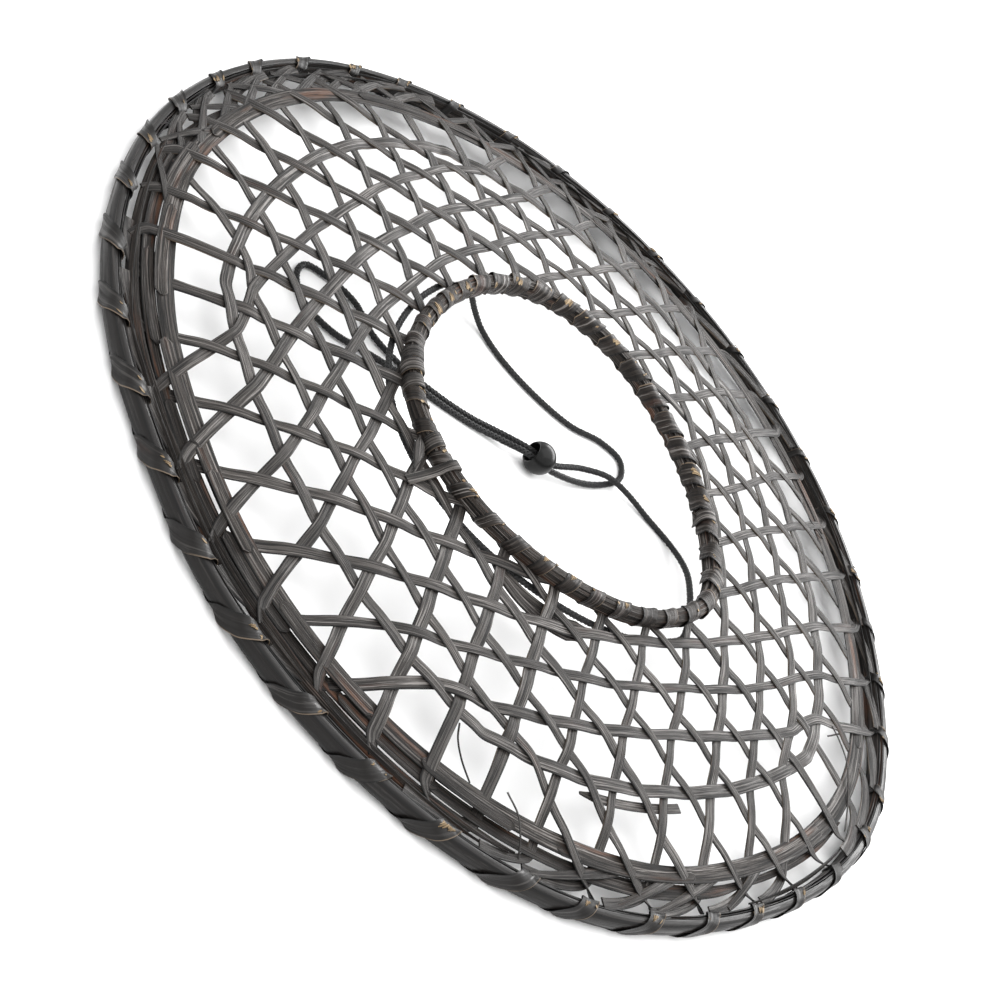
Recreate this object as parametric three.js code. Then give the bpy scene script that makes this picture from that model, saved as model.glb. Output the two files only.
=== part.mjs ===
// Open-weave bamboo hat with a raised collar, a lashed rim and a chin cord. Millimetres, +Z up.
// The origin is on the surface that the hat rests on, under the middle of the rim.

import * as THREE from 'three';
import { mergeVertices } from 'three/addons/utils/BufferGeometryUtils.js';

// Driving dimensions
const RIM_RADIUS = 229;          // outer face of the outer rim hoop
const HOOP_HEIGHT = 11;          // height of the rim hoops
const RIM_TURNS = 40;            // wraps of the rim lashing
const COLLAR_TURNS = 36;         // wraps of the collar lashing
const STRIP_THICK = 0.7;         // lashing strip
const LASHING_GAP = 0.5;         // between a lashing and the hoops that it holds
const PIECE_GAP = 0.3;           // between pieces that touch
const CROWN_HEIGHT = 24;         // middle of the net's thickness at the head opening
const BRIM_DROP = 19;            // how far the net falls from there to the rim
const DOME_POWER = 4;            // the fall grows with this power of the radius
const NET_THICK = 2;             // two crossed strips
const STRIP_PITCH = 22.2;        // distance between neighbouring strips of one direction
const STRIP_WIDTH = 5.6;         // weaving strip
const OPENING_RADIUS = 84.8;     // mean radius of the head opening, inside the collar hoops
const COLLAR_DEPTH = 8.5;        // radial, over both collar hoops
const COLLAR_BOTTOM = 21.3;
const COLLAR_HEIGHT = 8.4;
const CORD_DIAMETER = 3.3;
const CORD_STEP = 10;            // length of one facet of a cord, about three diameters
const BEAD_DIAMETER = 15.6;
const BEAD_BORE = 9.6;

const HOOP_BOTTOM = STRIP_THICK + LASHING_GAP;    // the lashing passes under the hoops and stands at zero
const HOOP_TOP = HOOP_BOTTOM + HOOP_HEIGHT;
const COLLAR_TOP = COLLAR_BOTTOM + COLLAR_HEIGHT;
const COLLAR_LASHED_DEPTH = COLLAR_DEPTH + LASHING_GAP + STRIP_THICK;
const RIM_SIDES = 56;
const COLLAR_SIDES = 48;
const RIM_HOOPS = { innerFace: 222.6, innerOuterFace: 224.8, outerInnerFace: 225.1 };
const CHORD_ROOM = { rim: 0.35, opening: 1 };     // what a straight side between two points of an edge takes
const NET_EDGE = RIM_HOOPS.innerFace - CHORD_ROOM.rim - LASHING_GAP - STRIP_THICK - PIECE_GAP;

// The weave starts from a five-sided middle, so five directions of strip take turns round the hat.
const DIRECTIONS = 5;
const SPREAD = 6 / DIRECTIONS;                    // a sixty-degree share of the weave fills 72 degrees
const FIRST_DIRECTION = THREE.MathUtils.degToRad(259);
const CELL_ROWS = { first: 4, firstOpen: 5, lastOpen: 8, last: 9 };
const CLOSED_CORNERS_FROM = 7;                    // strips crowd together here at the five corners

// Rows of strips are straight near the head opening and bend into hoops towards the rim.
const ROW_FORMS = [
  { row: 0, radius: 0, roundness: 0 },
  { row: 6.5 * STRIP_PITCH, radius: 6.5 * STRIP_PITCH, roundness: 0 },
  { row: 7.5 * STRIP_PITCH, radius: 171, roundness: 0.7 },
  { row: 8.5 * STRIP_PITCH, radius: 203, roundness: 1 },
  { row: 10 * STRIP_PITCH, radius: 245, roundness: 1 },
];

const bamboo = (colour, roughness) =>
  new THREE.MeshStandardMaterial({ color: colour, roughness, metalness: 0 });
const MATERIALS = {
  strip: bamboo(0x3a3430, 0.55),
  hoop: bamboo(0x2c2927, 0.4),
  splint: bamboo(0x40362f, 0.6),
  cord: bamboo(0x1d1d1d, 0.85),
  bead: bamboo(0x0c0c0c, 0.3),
};

const { degToRad, lerp } = THREE.MathUtils;
const brimHeight = (radius) => CROWN_HEIGHT - BRIM_DROP * (radius / RIM_RADIUS) ** DOME_POWER;

// The head opening is a rounded triangle, bent by use, with one sharper corner.
function openingRadius(angle) {
  const lobes = 4 * Math.cos(3 * (angle - degToRad(5)));
  const lean = 1.5 * Math.cos(angle - degToRad(60));
  const fromCorner = THREE.MathUtils.euclideanModulo(THREE.MathUtils.radToDeg(angle) - 12 + 180, 360) - 180;
  const corner = 2.5 * Math.exp(-((fromCorner / 12) ** 2));
  return OPENING_RADIUS + lobes + lean + corner;
}

function indexedGeometry(vertices, faces) {
  const geometry = new THREE.BufferGeometry();
  geometry.setAttribute('position', new THREE.Float32BufferAttribute(vertices.flat(), 3));
  geometry.setIndex(faces.flat());
  return geometry;
}

function weld(geometry) {
  const bare = geometry.clone();
  bare.deleteAttribute('normal');
  bare.deleteAttribute('uv');
  return mergeVertices(bare, 1e-4);
}

// A ring turned round the Z axis from a closed outline of [radius, height] corners, anticlockwise.
function turnedRing(outline, sides) {
  const profile = [...outline, outline[0]].map(([radius, height]) => new THREE.Vector2(radius, height));
  return new THREE.LatheGeometry(profile, sides).rotateX(Math.PI / 2);
}

// Moves what was made round a circle of the opening's mean radius out to the opening's true outline.
function followOpening(geometry) {
  const position = geometry.attributes.position;
  for (let index = 0; index < position.count; index += 1) {
    const [x, y] = [position.getX(index), position.getY(index)];
    const radius = Math.hypot(x, y);
    const scale = (radius + openingRadius(Math.atan2(y, x)) - OPENING_RADIUS) / radius;
    position.setXY(index, x * scale, y * scale);
  }
  return geometry;
}

// A flat strip wound round and round a hoop, each turn further clockwise seen from above. The section is
// a closed run of { radius, height, lead } corners, clockwise seen with the hat's middle on the left;
// lead is the share of one turn's advance that is reached there.
function windingStrip({ turns, section, width }) {
  const corners = section.length;
  const offsets = section.map((corner, index) => {
    const before = section[(index + corners - 1) % corners];
    const after = section[(index + 1) % corners];
    const normal = (a, b) => {
      const length = Math.hypot(b.radius - a.radius, b.height - a.height);
      return [-(b.height - a.height) / length, (b.radius - a.radius) / length];
    };
    const first = normal(before, corner);
    const second = normal(corner, after);
    const scale = STRIP_THICK / (1 + first[0] * second[0] + first[1] * second[1]);
    return [(first[0] + second[0]) * scale, (first[1] + second[1]) * scale];
  });
  const vertices = [];
  for (let turn = 0; turn < turns; turn += 1) {
    section.forEach(({ radius, height, lead }, index) => {
      const angle = -((turn + lead) / turns) * 2 * Math.PI;
      for (const layer of [0, 1]) {
        const distance = radius + layer * offsets[index][0];
        const z = height + layer * offsets[index][1];
        for (const side of [-1, 1]) {
          const edge = angle + (side * width) / (2 * distance);
          vertices.push([distance * Math.cos(edge), distance * Math.sin(edge), z]);
        }
      }
    });
  }
  const [INNER_BACK, INNER_FRONT, OUTER_BACK, OUTER_FRONT] = [0, 1, 2, 3];
  const loop = [INNER_BACK, INNER_FRONT, OUTER_FRONT, OUTER_BACK];
  const faces = [];
  const stations = turns * corners;
  for (let station = 0; station < stations; station += 1) {
    const here = station * 4;
    const next = ((station + 1) % stations) * 4;
    loop.forEach((corner, index) => {
      const following = loop[(index + 1) % 4];
      faces.push([here + corner, here + following, next + following]);
      faces.push([here + corner, next + following, next + corner]);
    });
  }
  return indexedGeometry(vertices, faces);
}

// Net: the weave is laid out flat, where strips are straight and gaps are true hexagons, and each
// point is then spread round the dome.
function planRadius(reach, turn) {
  const sector = Math.PI / 3;
  const folded = turn - sector * Math.round(turn / sector);
  const row = reach * Math.cos(folded);
  const above = Math.max(1, ROW_FORMS.findIndex((form) => form.row >= row));
  const [inner, outer] = [ROW_FORMS[above - 1], ROW_FORMS[above]];
  const share = (row - inner.row) / (outer.row - inner.row);
  const roundness = lerp(inner.roundness, outer.roundness, share);
  const straight = 1 / Math.cos(folded);
  return lerp(inner.radius, outer.radius, share) * lerp(straight, 1, roundness);
}

// The net ends against the collar's lashing and the rim's.
function onDome(direction, x, y, layer) {
  const turn = Math.atan2(y, x);
  const angle = FIRST_DIRECTION + SPREAD * (direction * (Math.PI / 3) + turn);
  const innerEdge = openingRadius(angle) + COLLAR_LASHED_DEPTH + PIECE_GAP + CHORD_ROOM.opening;
  const radius = THREE.MathUtils.clamp(planRadius(Math.hypot(x, y), turn), innerEdge, NET_EDGE);
  const height = brimHeight(radius) + layer * (NET_THICK / 2);
  return [radius * Math.cos(angle), radius * Math.sin(angle), height];
}

function wovenCell(direction, row, step) {
  const along = row * STRIP_PITCH;
  const across = (step - row / 2) * STRIP_PITCH * (2 / Math.sqrt(3));
  const crowded = step === 0 && row >= CLOSED_CORNERS_FROM;
  const open = row >= CELL_ROWS.firstOpen && row <= CELL_ROWS.lastOpen && !crowded;
  const cellReach = (2 / 3) * STRIP_PITCH;
  const gapReach = (STRIP_PITCH - STRIP_WIDTH) / Math.sqrt(3);
  const vertices = [];
  const faces = [];
  const addPoint = (x, y) => {
    vertices.push(onDome(direction, x, y, 1), onDome(direction, x, y, -1));
    return vertices.length - 2;
  };
  const addFlat = (a, b, c) => {
    faces.push([a, b, c], [a + 1, c + 1, b + 1]);
  };
  const outer = [];
  const inner = [];
  for (let side = 0; side < 6; side += 1) {
    const angle = (side * Math.PI) / 3;
    outer.push(addPoint(along + cellReach * Math.cos(angle), across + cellReach * Math.sin(angle)));
  }
  if (!open) {
    for (let side = 1; side < 5; side += 1) addFlat(outer[0], outer[side], outer[side + 1]);
    return { vertices, faces };
  }
  for (let side = 0; side < 6; side += 1) {
    const angle = ((side + 0.5) * Math.PI) / 3;
    inner.push(addPoint(along + gapReach * Math.cos(angle), across + gapReach * Math.sin(angle)));
  }
  for (let side = 0; side < 6; side += 1) {
    const next = (side + 1) % 6;
    addFlat(outer[side], outer[next], inner[side]);
    addFlat(outer[next], inner[next], inner[side]);
    faces.push([inner[side], inner[next], inner[next] + 1], [inner[side], inner[next] + 1, inner[side] + 1]);
  }
  return { vertices, faces };
}

// The cells share their outer corners, so their rims are closed only where no neighbour follows.
function closeOuterEdges(geometry) {
  const index = Array.from(geometry.index.array);
  const edges = new Map();
  for (let face = 0; face < index.length; face += 3) {
    for (let side = 0; side < 3; side += 1) {
      const from = index[face + side];
      const to = index[face + ((side + 1) % 3)];
      if (!edges.delete(`${to},${from}`)) edges.set(`${from},${to}`, [from, to]);
    }
  }
  const position = geometry.attributes.position;
  const free = [...edges.values()].map(([from, to]) => ({ from, to, z: position.getZ(from) }));
  const mate = (vertex) => {
    const near = free.find(({ from, z }) => from !== vertex
      && Math.abs(position.getX(from) - position.getX(vertex)) < 1e-3
      && Math.abs(position.getY(from) - position.getY(vertex)) < 1e-3
      && z < position.getZ(vertex));
    return near?.from;
  };
  for (const { from, to } of free) {
    const lowFrom = mate(from);
    const lowTo = mate(to);
    if (lowFrom !== undefined && lowTo !== undefined) index.push(from, lowFrom, to, to, lowFrom, lowTo);
  }
  geometry.setIndex(index);
  return geometry;
}

function wovenNet() {
  const vertices = [];
  const faces = [];
  for (let direction = 0; direction < DIRECTIONS; direction += 1) {
    for (let row = CELL_ROWS.first; row <= CELL_ROWS.last; row += 1) {
      for (let step = 0; step < row; step += 1) {
        const cell = wovenCell(direction, row, step);
        const first = vertices.length;
        vertices.push(...cell.vertices);
        faces.push(...cell.faces.map((face) => face.map((index) => index + first)));
      }
    }
  }
  return closeOuterEdges(weld(indexedGeometry(vertices, faces)));
}

// Rim: a half-round outer hoop and a thin inner one, held together by one strip wound round both.

function rimOuterHoop() {
  const edge = RIM_RADIUS - 1.6;
  const shoulder = RIM_RADIUS - 0.6;
  return turnedRing([
    [RIM_HOOPS.outerInnerFace, HOOP_BOTTOM], [edge, HOOP_BOTTOM], [shoulder, HOOP_BOTTOM + 2.2],
    [RIM_RADIUS, HOOP_BOTTOM + HOOP_HEIGHT / 2], [shoulder, HOOP_TOP - 2.2], [edge, HOOP_TOP],
    [RIM_HOOPS.outerInnerFace, HOOP_TOP],
  ], RIM_SIDES);
}

function rimInnerHoop() {
  return turnedRing([
    [RIM_HOOPS.innerFace, HOOP_BOTTOM], [RIM_HOOPS.innerOuterFace, HOOP_BOTTOM],
    [RIM_HOOPS.innerOuterFace, HOOP_TOP - 0.4], [RIM_HOOPS.innerFace, HOOP_TOP - 0.4],
  ], RIM_SIDES);
}

function rimLashing() {
  const inside = RIM_HOOPS.innerFace - LASHING_GAP - CHORD_ROOM.rim / 2;
  const low = HOOP_BOTTOM - LASHING_GAP;
  const high = HOOP_TOP + LASHING_GAP;
  return windingStrip({
    turns: RIM_TURNS,
    width: 8,
    section: [
      { radius: inside, height: low, lead: 0 },
      { radius: inside, height: high, lead: 0.22 },
      { radius: RIM_RADIUS - 0.7, height: high, lead: 0.3 },
      { radius: RIM_RADIUS + LASHING_GAP, height: (low + high) / 2, lead: 0.38 },
      { radius: RIM_RADIUS - 0.7, height: low, lead: 0.45 },
    ],
  });
}

// Band: the broad splints that lie on the net where the brim turns down to the rim.
function brimBand() {
  const [inside, outside] = [203, 212];
  const [low, high] = [NET_THICK / 2 + PIECE_GAP + 0.1, NET_THICK / 2 + PIECE_GAP + 1.1];
  return turnedRing([
    [inside, brimHeight(inside) + low], [outside, brimHeight(outside) + low],
    [outside, brimHeight(outside) + high], [inside, brimHeight(inside) + high],
  ], RIM_SIDES);
}

// Collar: two hoops round the head opening, lashed like the rim.
function collarHoop(from, to) {
  return followOpening(turnedRing([
    [OPENING_RADIUS + from, COLLAR_BOTTOM], [OPENING_RADIUS + to, COLLAR_BOTTOM],
    [OPENING_RADIUS + to, COLLAR_TOP], [OPENING_RADIUS + from, COLLAR_TOP],
  ], COLLAR_SIDES));
}

function collarLashing() {
  const inside = OPENING_RADIUS - LASHING_GAP;
  const outside = OPENING_RADIUS + COLLAR_DEPTH + LASHING_GAP;
  return followOpening(windingStrip({
    turns: COLLAR_TURNS,
    width: 6,
    section: [
      { radius: inside, height: COLLAR_BOTTOM - LASHING_GAP, lead: 0 },
      { radius: inside, height: COLLAR_TOP + LASHING_GAP, lead: 0.2 },
      { radius: outside, height: COLLAR_TOP + LASHING_GAP, lead: 0.35 },
      { radius: outside, height: COLLAR_BOTTOM - LASHING_GAP, lead: 0.5 },
    ],
  }));
}

// Cord: one loop, in two stretches that meet at the head opening. LAID is the height of its middle
// where it lies on the surface that the hat stands on.
const LAID = 2;
const CORD_DROP_LEFT = new THREE.Vector3(-87.3, 21.25, 17.95);
const CORD_DROP_RIGHT = new THREE.Vector3(93.2, 14.2, 18.1);

const FREE_CORD_ROUTE = [
  CORD_DROP_LEFT.toArray(), [-84, 26.7, 16.3], [-78.2, 34, 8.6], [-70.5, 38.6, 2.7],
  [-57, 38, LAID], [-34, 41.6, LAID], [-9, 52.3, LAID], [6, 66.5, LAID], [18, 70.6, LAID],
  [25.4, 61.5, LAID], [23.4, 44, LAID], [16, 25.5, 2.9], [4.4, 6.5, 6.2], [-1.3, 1.8, 7],
  [-7.1, -2.1, 7.8], [-18.5, -6.2, 3.7], [-34, -17.3, LAID], [-51, -28.8, LAID], [-67.2, -37.9, LAID],
  [-82.5, -49.3, LAID], [-97.5, -61.3, LAID], [-114, -65.2, LAID], [-127, -58.2, LAID],
  [-130.8, -47.5, LAID], [-121.5, -39.2, LAID], [-106, -33.6, LAID], [-89, -37.5, LAID],
  [-70, -33.4, LAID], [-52.8, -25.2, LAID], [-36, -13.8, LAID], [-20.5, -2.2, 3.7], [-9.3, 1, 7.8],
  [-3.7, 5.2, 7], [2, 9.8, 6.2], [12, 34, 4.3], [22.4, 46.3, 5.7], [33.1, 53.3, 4.2],
  [48, 58.9, LAID], [67, 60.2, 2.3], [79.3, 47.5, 8.6], [89.4, 22.5, 17], CORD_DROP_RIGHT.toArray(),
];

// Under the net, just outside the collar, from the right-hand drop round the front to the left-hand one.
function heldCordRoute() {
  const gap = { right: [0.21, -0.45, 0.03], left: [-0.31, -0.5, 0.09] };
  const shifted = (point, [x, y, z]) => [point.x + x, point.y + y, point.z + z];
  const arc = { from: -14, to: -176, stations: 18, clearance: 12.2, height: 20.3 };
  const route = [shifted(CORD_DROP_RIGHT, gap.right), [96.5, 7.2, 18.1], [100, -0.5, 18.2], [101.2, -8.5, 18.7]];
  for (let station = 0; station <= arc.stations; station += 1) {
    const angle = degToRad(lerp(arc.from, arc.to, station / arc.stations));
    const radius = openingRadius(angle) + arc.clearance;
    route.push([radius * Math.cos(angle), radius * Math.sin(angle), arc.height]);
  }
  route.push([-91.9, 13.1, 18.8], shifted(CORD_DROP_LEFT, gap.left));
  return route;
}

function cordAlong(route) {
  const sides = 8;
  const section = new THREE.Shape();
  for (let side = 0; side < sides; side += 1) {
    const angle = ((side + 0.5) * 2 * Math.PI) / sides;
    const [x, y] = [(CORD_DIAMETER / 2) * Math.cos(angle), (CORD_DIAMETER / 2) * Math.sin(angle)];
    if (side === 0) section.moveTo(x, y);
    else section.lineTo(x, y);
  }
  const path = new THREE.CatmullRomCurve3(route.map((point) => new THREE.Vector3(...point)), false, 'centripetal');
  path.arcLengthDivisions = 1000;
  const steps = Math.round(path.getLength() / CORD_STEP);
  return new THREE.ExtrudeGeometry(section, { steps, extrudePath: path, bevelEnabled: false });
}

// Bead: a ball with a wide bore along X for both strands, turned into line with them.
function sliderBead() {
  const [ball, bore] = [BEAD_DIAMETER / 2, BEAD_BORE / 2];
  const mouth = Math.acos(bore / ball);
  const profile = [];
  const rows = 6;
  for (let row = 0; row <= rows; row += 1) {
    const latitude = lerp(-mouth, mouth, row / rows);
    profile.push([ball * Math.cos(latitude), ball * Math.sin(latitude)]);
  }
  const geometry = turnedRing(profile, 12).rotateY(Math.PI / 2);
  const bead = new THREE.Mesh(geometry, MATERIALS.bead);
  bead.position.set(-2.5, 3.5, ball + 0.1);
  bead.rotation.set(0, degToRad(8), degToRad(36), 'ZYX');
  return bead;
}

const hat = new THREE.Group();

function addPiece(name, geometry, material) {
  const mesh = new THREE.Mesh(geometry, material);
  mesh.name = name;
  hat.add(mesh);
}

addPiece('woven_net', wovenNet(), MATERIALS.strip);
addPiece('brim_band', brimBand(), MATERIALS.splint);
addPiece('rim_outer_hoop', rimOuterHoop(), MATERIALS.hoop);
addPiece('rim_inner_hoop', rimInnerHoop(), MATERIALS.splint);
addPiece('rim_lashing', rimLashing(), MATERIALS.strip);
addPiece('collar_inner_hoop', collarHoop(0, (COLLAR_DEPTH - PIECE_GAP) / 2), MATERIALS.splint);
addPiece('collar_outer_hoop', collarHoop((COLLAR_DEPTH + PIECE_GAP) / 2, COLLAR_DEPTH), MATERIALS.splint);
addPiece('collar_lashing', collarLashing(), MATERIALS.strip);
addPiece('chin_cord', cordAlong(FREE_CORD_ROUTE), MATERIALS.cord);
addPiece('collar_cord', cordAlong(heldCordRoute()), MATERIALS.cord);

const bead = sliderBead();
bead.name = 'slider_bead';
hat.add(bead);

export default hat;
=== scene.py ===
import math

import bpy
import numpy as np
from mathutils import Matrix, Vector


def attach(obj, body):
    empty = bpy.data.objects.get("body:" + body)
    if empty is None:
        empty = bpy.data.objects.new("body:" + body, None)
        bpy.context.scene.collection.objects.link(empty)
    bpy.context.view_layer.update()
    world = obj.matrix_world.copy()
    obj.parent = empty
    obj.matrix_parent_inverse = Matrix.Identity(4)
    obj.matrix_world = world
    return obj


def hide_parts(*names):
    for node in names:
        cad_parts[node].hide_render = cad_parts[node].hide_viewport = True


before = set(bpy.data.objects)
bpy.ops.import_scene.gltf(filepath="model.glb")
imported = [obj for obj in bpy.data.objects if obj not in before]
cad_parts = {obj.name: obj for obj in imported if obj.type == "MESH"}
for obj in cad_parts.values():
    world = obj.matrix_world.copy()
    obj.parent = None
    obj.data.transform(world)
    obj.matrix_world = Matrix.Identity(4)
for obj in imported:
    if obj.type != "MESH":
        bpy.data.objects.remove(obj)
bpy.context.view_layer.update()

# Sizes in millimetres, as in the CAD part, turned into metres where a piece is made.
MILLIMETRE = 0.001
RIM_RADIUS = 229
CROWN_HEIGHT = 24
BRIM_DROP = 19
STRIP_PITCH = 22.2
STRIP_WIDTH = 5.7
STRIP_THICK = 0.75
DIRECTIONS = 5
ROWS = 7
SPREAD = 6 / DIRECTIONS
FIRST_DIRECTION = math.radians(259)
SECTOR = math.pi / 3
HOOP_ROW = 7.5 * STRIP_PITCH
BAND_ROW = 8.5 * STRIP_PITCH
ROW_FORMS = {
    "row": [0, 6.5 * STRIP_PITCH, HOOP_ROW, BAND_ROW, 10 * STRIP_PITCH],
    "radius": [0, 6.5 * STRIP_PITCH, 171, 203, 245],
    "roundness": [0, 0, 0.7, 1, 1],
}
OPENING_RADIUS = 84.8
COLLAR_TURNS = 36
RIM_TURNS = 40
LAID = 1.75
UP = np.array([0.0, 0.0, 1.0])
UPRIGHT = math.radians(90)


# Camera

def make_camera():
    data = bpy.data.cameras.new("camera")
    data.sensor_width = 36
    data.lens = 71.86
    data.clip_start = 0.01
    camera = bpy.data.objects.new("camera", data)
    bpy.context.scene.collection.objects.link(camera)
    right = Vector((0.5930, 0.4717, 0.6526))
    up = Vector((-0.8038, 0.2984, 0.5146))
    back = right.cross(up)
    turn = Matrix((right, up, back)).transposed().to_4x4()
    camera.matrix_world = Matrix.Translation((0.0467, -0.7695, 0.4949)) @ turn
    bpy.context.scene.camera = camera


make_camera()


# Small maths

def unit(vectors):
    return vectors / np.linalg.norm(vectors, axis=-1, keepdims=True)


def smoothstep(share):
    share = np.clip(share, 0, 1)
    return share * share * (3 - 2 * share)


def wander(seed, size, wavelength):
    """A smooth function of distance that strays by about that size."""
    random = np.random.default_rng(seed)
    phases = random.uniform(0, 2 * math.pi, 3)
    rates = random.uniform(0.6, 1.6, 3) * 2 * math.pi / wavelength
    return lambda distance: size * sum(np.sin(distance * r + p) for r, p in zip(rates, phases)) / 2


def ring_wander(seed, size, waves):
    """The same round a ring, as a function of its angle."""
    random = np.random.default_rng(seed)
    phases = random.uniform(0, 2 * math.pi, 3)
    counts = [waves, waves + 1, 2 * waves + 1]
    return lambda angle: size * sum(np.sin(angle * n + p) for n, p in zip(counts, phases)) / 2


def path_lengths(points, closed=False):
    ends = np.vstack([points, points[:1]]) if closed else points
    steps = np.linalg.norm(np.diff(ends, axis=0), axis=1)
    return np.concatenate([[0], np.cumsum(steps)])


def between(first, last, start, end, here):
    return (end - here) / (end - start) * first + (here - start) / (end - start) * last


def curve_through(route, spacing):
    """A centripetal Catmull-Rom curve through the points, at even steps."""
    points = np.asarray(route, float)
    padded = np.vstack([2 * points[0] - points[1], points, 2 * points[-1] - points[-2]])
    pieces = []
    for index in range(len(points) - 1):
        p0, p1, p2, p3 = padded[index:index + 4]
        t1 = np.linalg.norm(p1 - p0) ** 0.5
        t2 = t1 + np.linalg.norm(p2 - p1) ** 0.5
        t3 = t2 + np.linalg.norm(p3 - p2) ** 0.5
        t = np.linspace(t1, t2, 60, endpoint=False)[:, None]
        a1 = between(p0, p1, 0, t1, t)
        a2 = between(p1, p2, t1, t2, t)
        a3 = between(p2, p3, t2, t3, t)
        b1 = between(a1, a2, 0, t2, t)
        b2 = between(a2, a3, t1, t3, t)
        pieces.append(between(b1, b2, t1, t2, t))
    dense = np.vstack([*pieces, points[-1:]])
    along = path_lengths(dense)
    count = max(2, round(along[-1] / spacing)) + 1
    stations = np.linspace(0, along[-1], count)
    return np.stack([np.interp(stations, along, dense[:, axis]) for axis in range(3)], axis=1)


def smoothed(points, reach, closed=False):
    """Points averaged with their neighbours, the ends left where they are."""
    weights = np.exp(-np.linspace(-2, 2, 2 * reach + 1) ** 2)
    weights /= weights.sum()
    if closed:
        padded = np.vstack([points[-reach:], points, points[:reach]])
    else:
        first = 2 * points[0] - points[1:reach + 1][::-1]
        last = 2 * points[-1] - points[-reach - 1:-1][::-1]
        padded = np.vstack([first, points, last])
    return np.stack([np.convolve(padded[:, axis], weights, "valid") for axis in range(3)], axis=1)


# Shape of the hat

# Columns: angle in degrees, half width in degrees, how far the rim stands out there
BENDS = [(14, 17, 5.2), (338, 20, -4.6), (247, 12, -3.4), (168, 14, 1.4)]
# The taller back: angle and half width in degrees, share, radius where it starts, over how far
TALL_ANGLE, TALL_WIDTH, TALL_SHARE, TALL_FROM, TALL_OVER = 98, 72, 0.2, 212, 8


def brim_height(radius):
    return CROWN_HEIGHT - BRIM_DROP * (radius / RIM_RADIUS) ** 4


def degrees_away(angle, place):
    return (angle - place + 180) % 360 - 180


def opening_radius(angle):
    """The head opening is a rounded triangle, bent by use, with one sharper corner."""
    lobes = 4 * np.cos(3 * (angle - math.radians(5)))
    lean = 1.5 * np.cos(angle - math.radians(60))
    corner = 2.5 * np.exp(-((degrees_away(np.degrees(angle), 12) / 12) ** 2))
    return OPENING_RADIUS + lobes + lean + corner


def plan_radius(reach, turn):
    """Where a point of the flat weave comes to lie: rows are straight inside and round outside."""
    folded = turn - SECTOR * np.round(turn / SECTOR)
    row = reach * np.cos(folded)
    radius = np.interp(row, ROW_FORMS["row"], ROW_FORMS["radius"])
    roundness = np.interp(row, ROW_FORMS["row"], ROW_FORMS["roundness"])
    straight = 1 / np.cos(folded)
    return radius * (straight + roundness * (1 - straight))


def flat_to_plan(direction, across, along):
    """Radius and angle of points of one direction's flat layout."""
    turn = np.arctan2(along, across)
    angle = FIRST_DIRECTION + SPREAD * (direction * SECTOR + turn)
    return plan_radius(np.hypot(across, along), turn), angle


def bent(points):
    """The hat is a little out of round with use, most at the rim, which is taller at the back."""
    radius = np.linalg.norm(points[..., :2], axis=-1)
    angle = np.degrees(np.arctan2(points[..., 1], points[..., 0]))
    out = 0
    for place, width, size in BENDS:
        out = out + size * np.exp(-((degrees_away(angle, place) / width) ** 2))
    scale = 1 + out * (radius / RIM_RADIUS) ** 3 / radius
    outside = smoothstep((radius - TALL_FROM) / TALL_OVER)
    at_back = np.exp(-((degrees_away(angle, TALL_ANGLE) / TALL_WIDTH) ** 4))
    taller = 1 + TALL_SHARE * at_back * outside
    return points * np.stack([scale, scale, taller], axis=-1)


def polar(radius, angle, height):
    parts = np.broadcast_arrays(radius * np.cos(angle), radius * np.sin(angle), height)
    return np.stack(parts, axis=-1)


def placed(rows):
    """Points from rows of angle in degrees, radius and height."""
    return [polar(radius, math.radians(angle), height) for angle, radius, height in rows]


# Mesh building

class Piece:
    """One visible piece, gathered as skins over rings of points, with U along the grain in metres
    and V across it. The whole part of V tells the strips of a piece apart."""

    def __init__(self, name, out_of_round=True):
        self.name = name
        self.out_of_round = out_of_round
        self.vertices = []
        self.faces = []
        self.places = []
        self.strips = 0

    def skin(self, rings, along, across, closed=False):
        first = sum(len(block) for block in self.vertices)
        count, size = rings.shape[:2]
        points = bent(rings) if self.out_of_round else rings
        self.vertices.append(points.reshape(-1, 3) * MILLIMETRE)
        for here in range(count if closed else count - 1):
            there = (here + 1) % count
            for corner in range(size):
                after = (corner + 1) % size
                self.faces.append((
                    first + here * size + corner, first + here * size + after,
                    first + there * size + after, first + there * size + corner,
                ))
                self.places += [
                    (along[here], across[corner]), (along[here], across[after]),
                    (along[here + 1], across[after]), (along[here + 1], across[corner]),
                ]
        if closed:
            return
        last = first + (count - 1) * size
        self.faces.append(tuple(range(first + size - 1, first - 1, -1)))
        self.places += [(along[0], value) for value in across[::-1]]
        self.faces.append(tuple(range(last, last + size)))
        self.places += [(along[-1], value) for value in across]

    def make(self, material, sharp=40):
        mesh = bpy.data.meshes.new(self.name)
        mesh.from_pydata(np.vstack(self.vertices).tolist(), [], self.faces)
        layer = mesh.uv_layers.new(name="UVMap")
        layer.data.foreach_set("uv", np.asarray(self.places, np.float32).ravel())
        mesh.shade_smooth()
        mesh.set_sharp_from_angle(angle=math.radians(sharp))
        mesh.materials.append(material)
        made = bpy.data.objects.new(self.name, mesh)
        bpy.context.scene.collection.objects.link(made)
        return made


def frames(points, normals, roll, closed):
    """Tangent, across and up directions at each point, turned round the path by roll."""
    if closed:
        tangents = unit(np.roll(points, -1, axis=0) - np.roll(points, 1, axis=0))
    else:
        tangents = unit(np.gradient(points, axis=0))
    side = unit(np.cross(normals, tangents))
    top = np.cross(tangents, side)
    turn = np.broadcast_to(roll, len(points))[:, None]
    return np.cos(turn) * side + np.sin(turn) * top, np.cos(turn) * top - np.sin(turn) * side


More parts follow.
